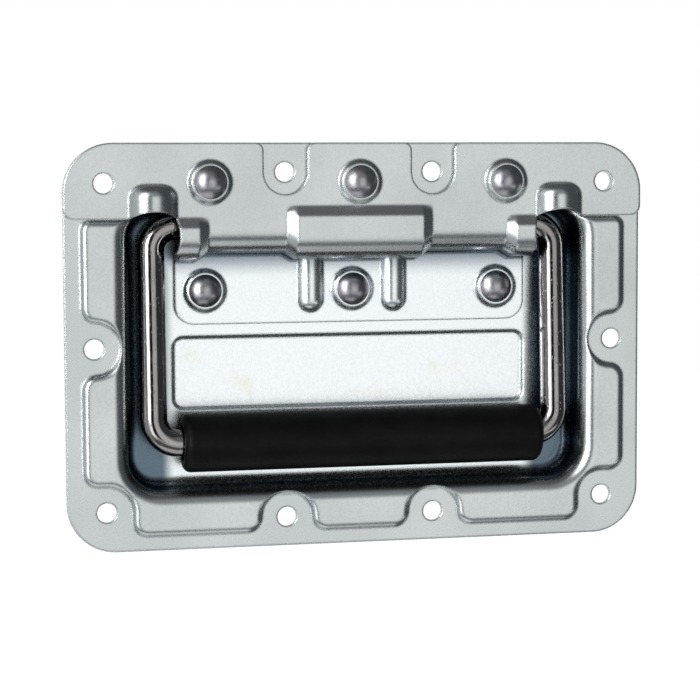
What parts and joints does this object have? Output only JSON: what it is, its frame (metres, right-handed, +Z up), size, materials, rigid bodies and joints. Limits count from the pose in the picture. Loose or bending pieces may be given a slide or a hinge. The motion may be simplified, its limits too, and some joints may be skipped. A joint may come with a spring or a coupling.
{
  "type": "recessed pull handle",
  "caption": "Sprung recessed pull handle: a pressed steel dish with a riveted hinge cover, a folding steel bow and a black hand grip.",
  "frame": {"origin": "centre of the four corner screw holes, on the back face of the flange", "axes": "+X across the handle to the user's right, +Y into the case, +Z up towards the hinge"},
  "size_m": [0.152, 0.0175, 0.1036],
  "materials": {
    "zinc_dish": "bright zinc plate on pressed steel, satin on the flange",
    "zinc_cover": "satin zinc plate on pressed steel",
    "plated_rod": "bright plated round bar with small nicks",
    "black_grip": "black, faintly grained",
    "spring_wire": "drawn spring wire",
    "rivet_steel": "smooth plated dome heads"
  },
  "bodies": {
    "housing": {"dish": "zinc_dish", "hinge_cover": "zinc_cover", "spring_left": "spring_wire", "spring_right": "spring_wire", "rivet_top_left": "rivet_steel", "rivet_top_middle": "rivet_steel", "rivet_top_right": "rivet_steel", "rivet_floor_left": "rivet_steel", "rivet_floor_middle": "rivet_steel", "rivet_floor_right": "rivet_steel"},
    "bow": {"bow": "plated_rod", "grip": "black_grip"}
  },
  "joints": [
    {"name": "bow_hinge", "type": "hinge", "parent": "housing", "child": "bow", "pos_m": [0, 0.0039, 0.0306], "axis": [-1, 0, 0], "range_deg": [0, 87], "stiffness_Nm_per_rad": 0.08, "springref_deg": -34.38, "deforming": ["spring_left", "spring_right"]}
  ]
}
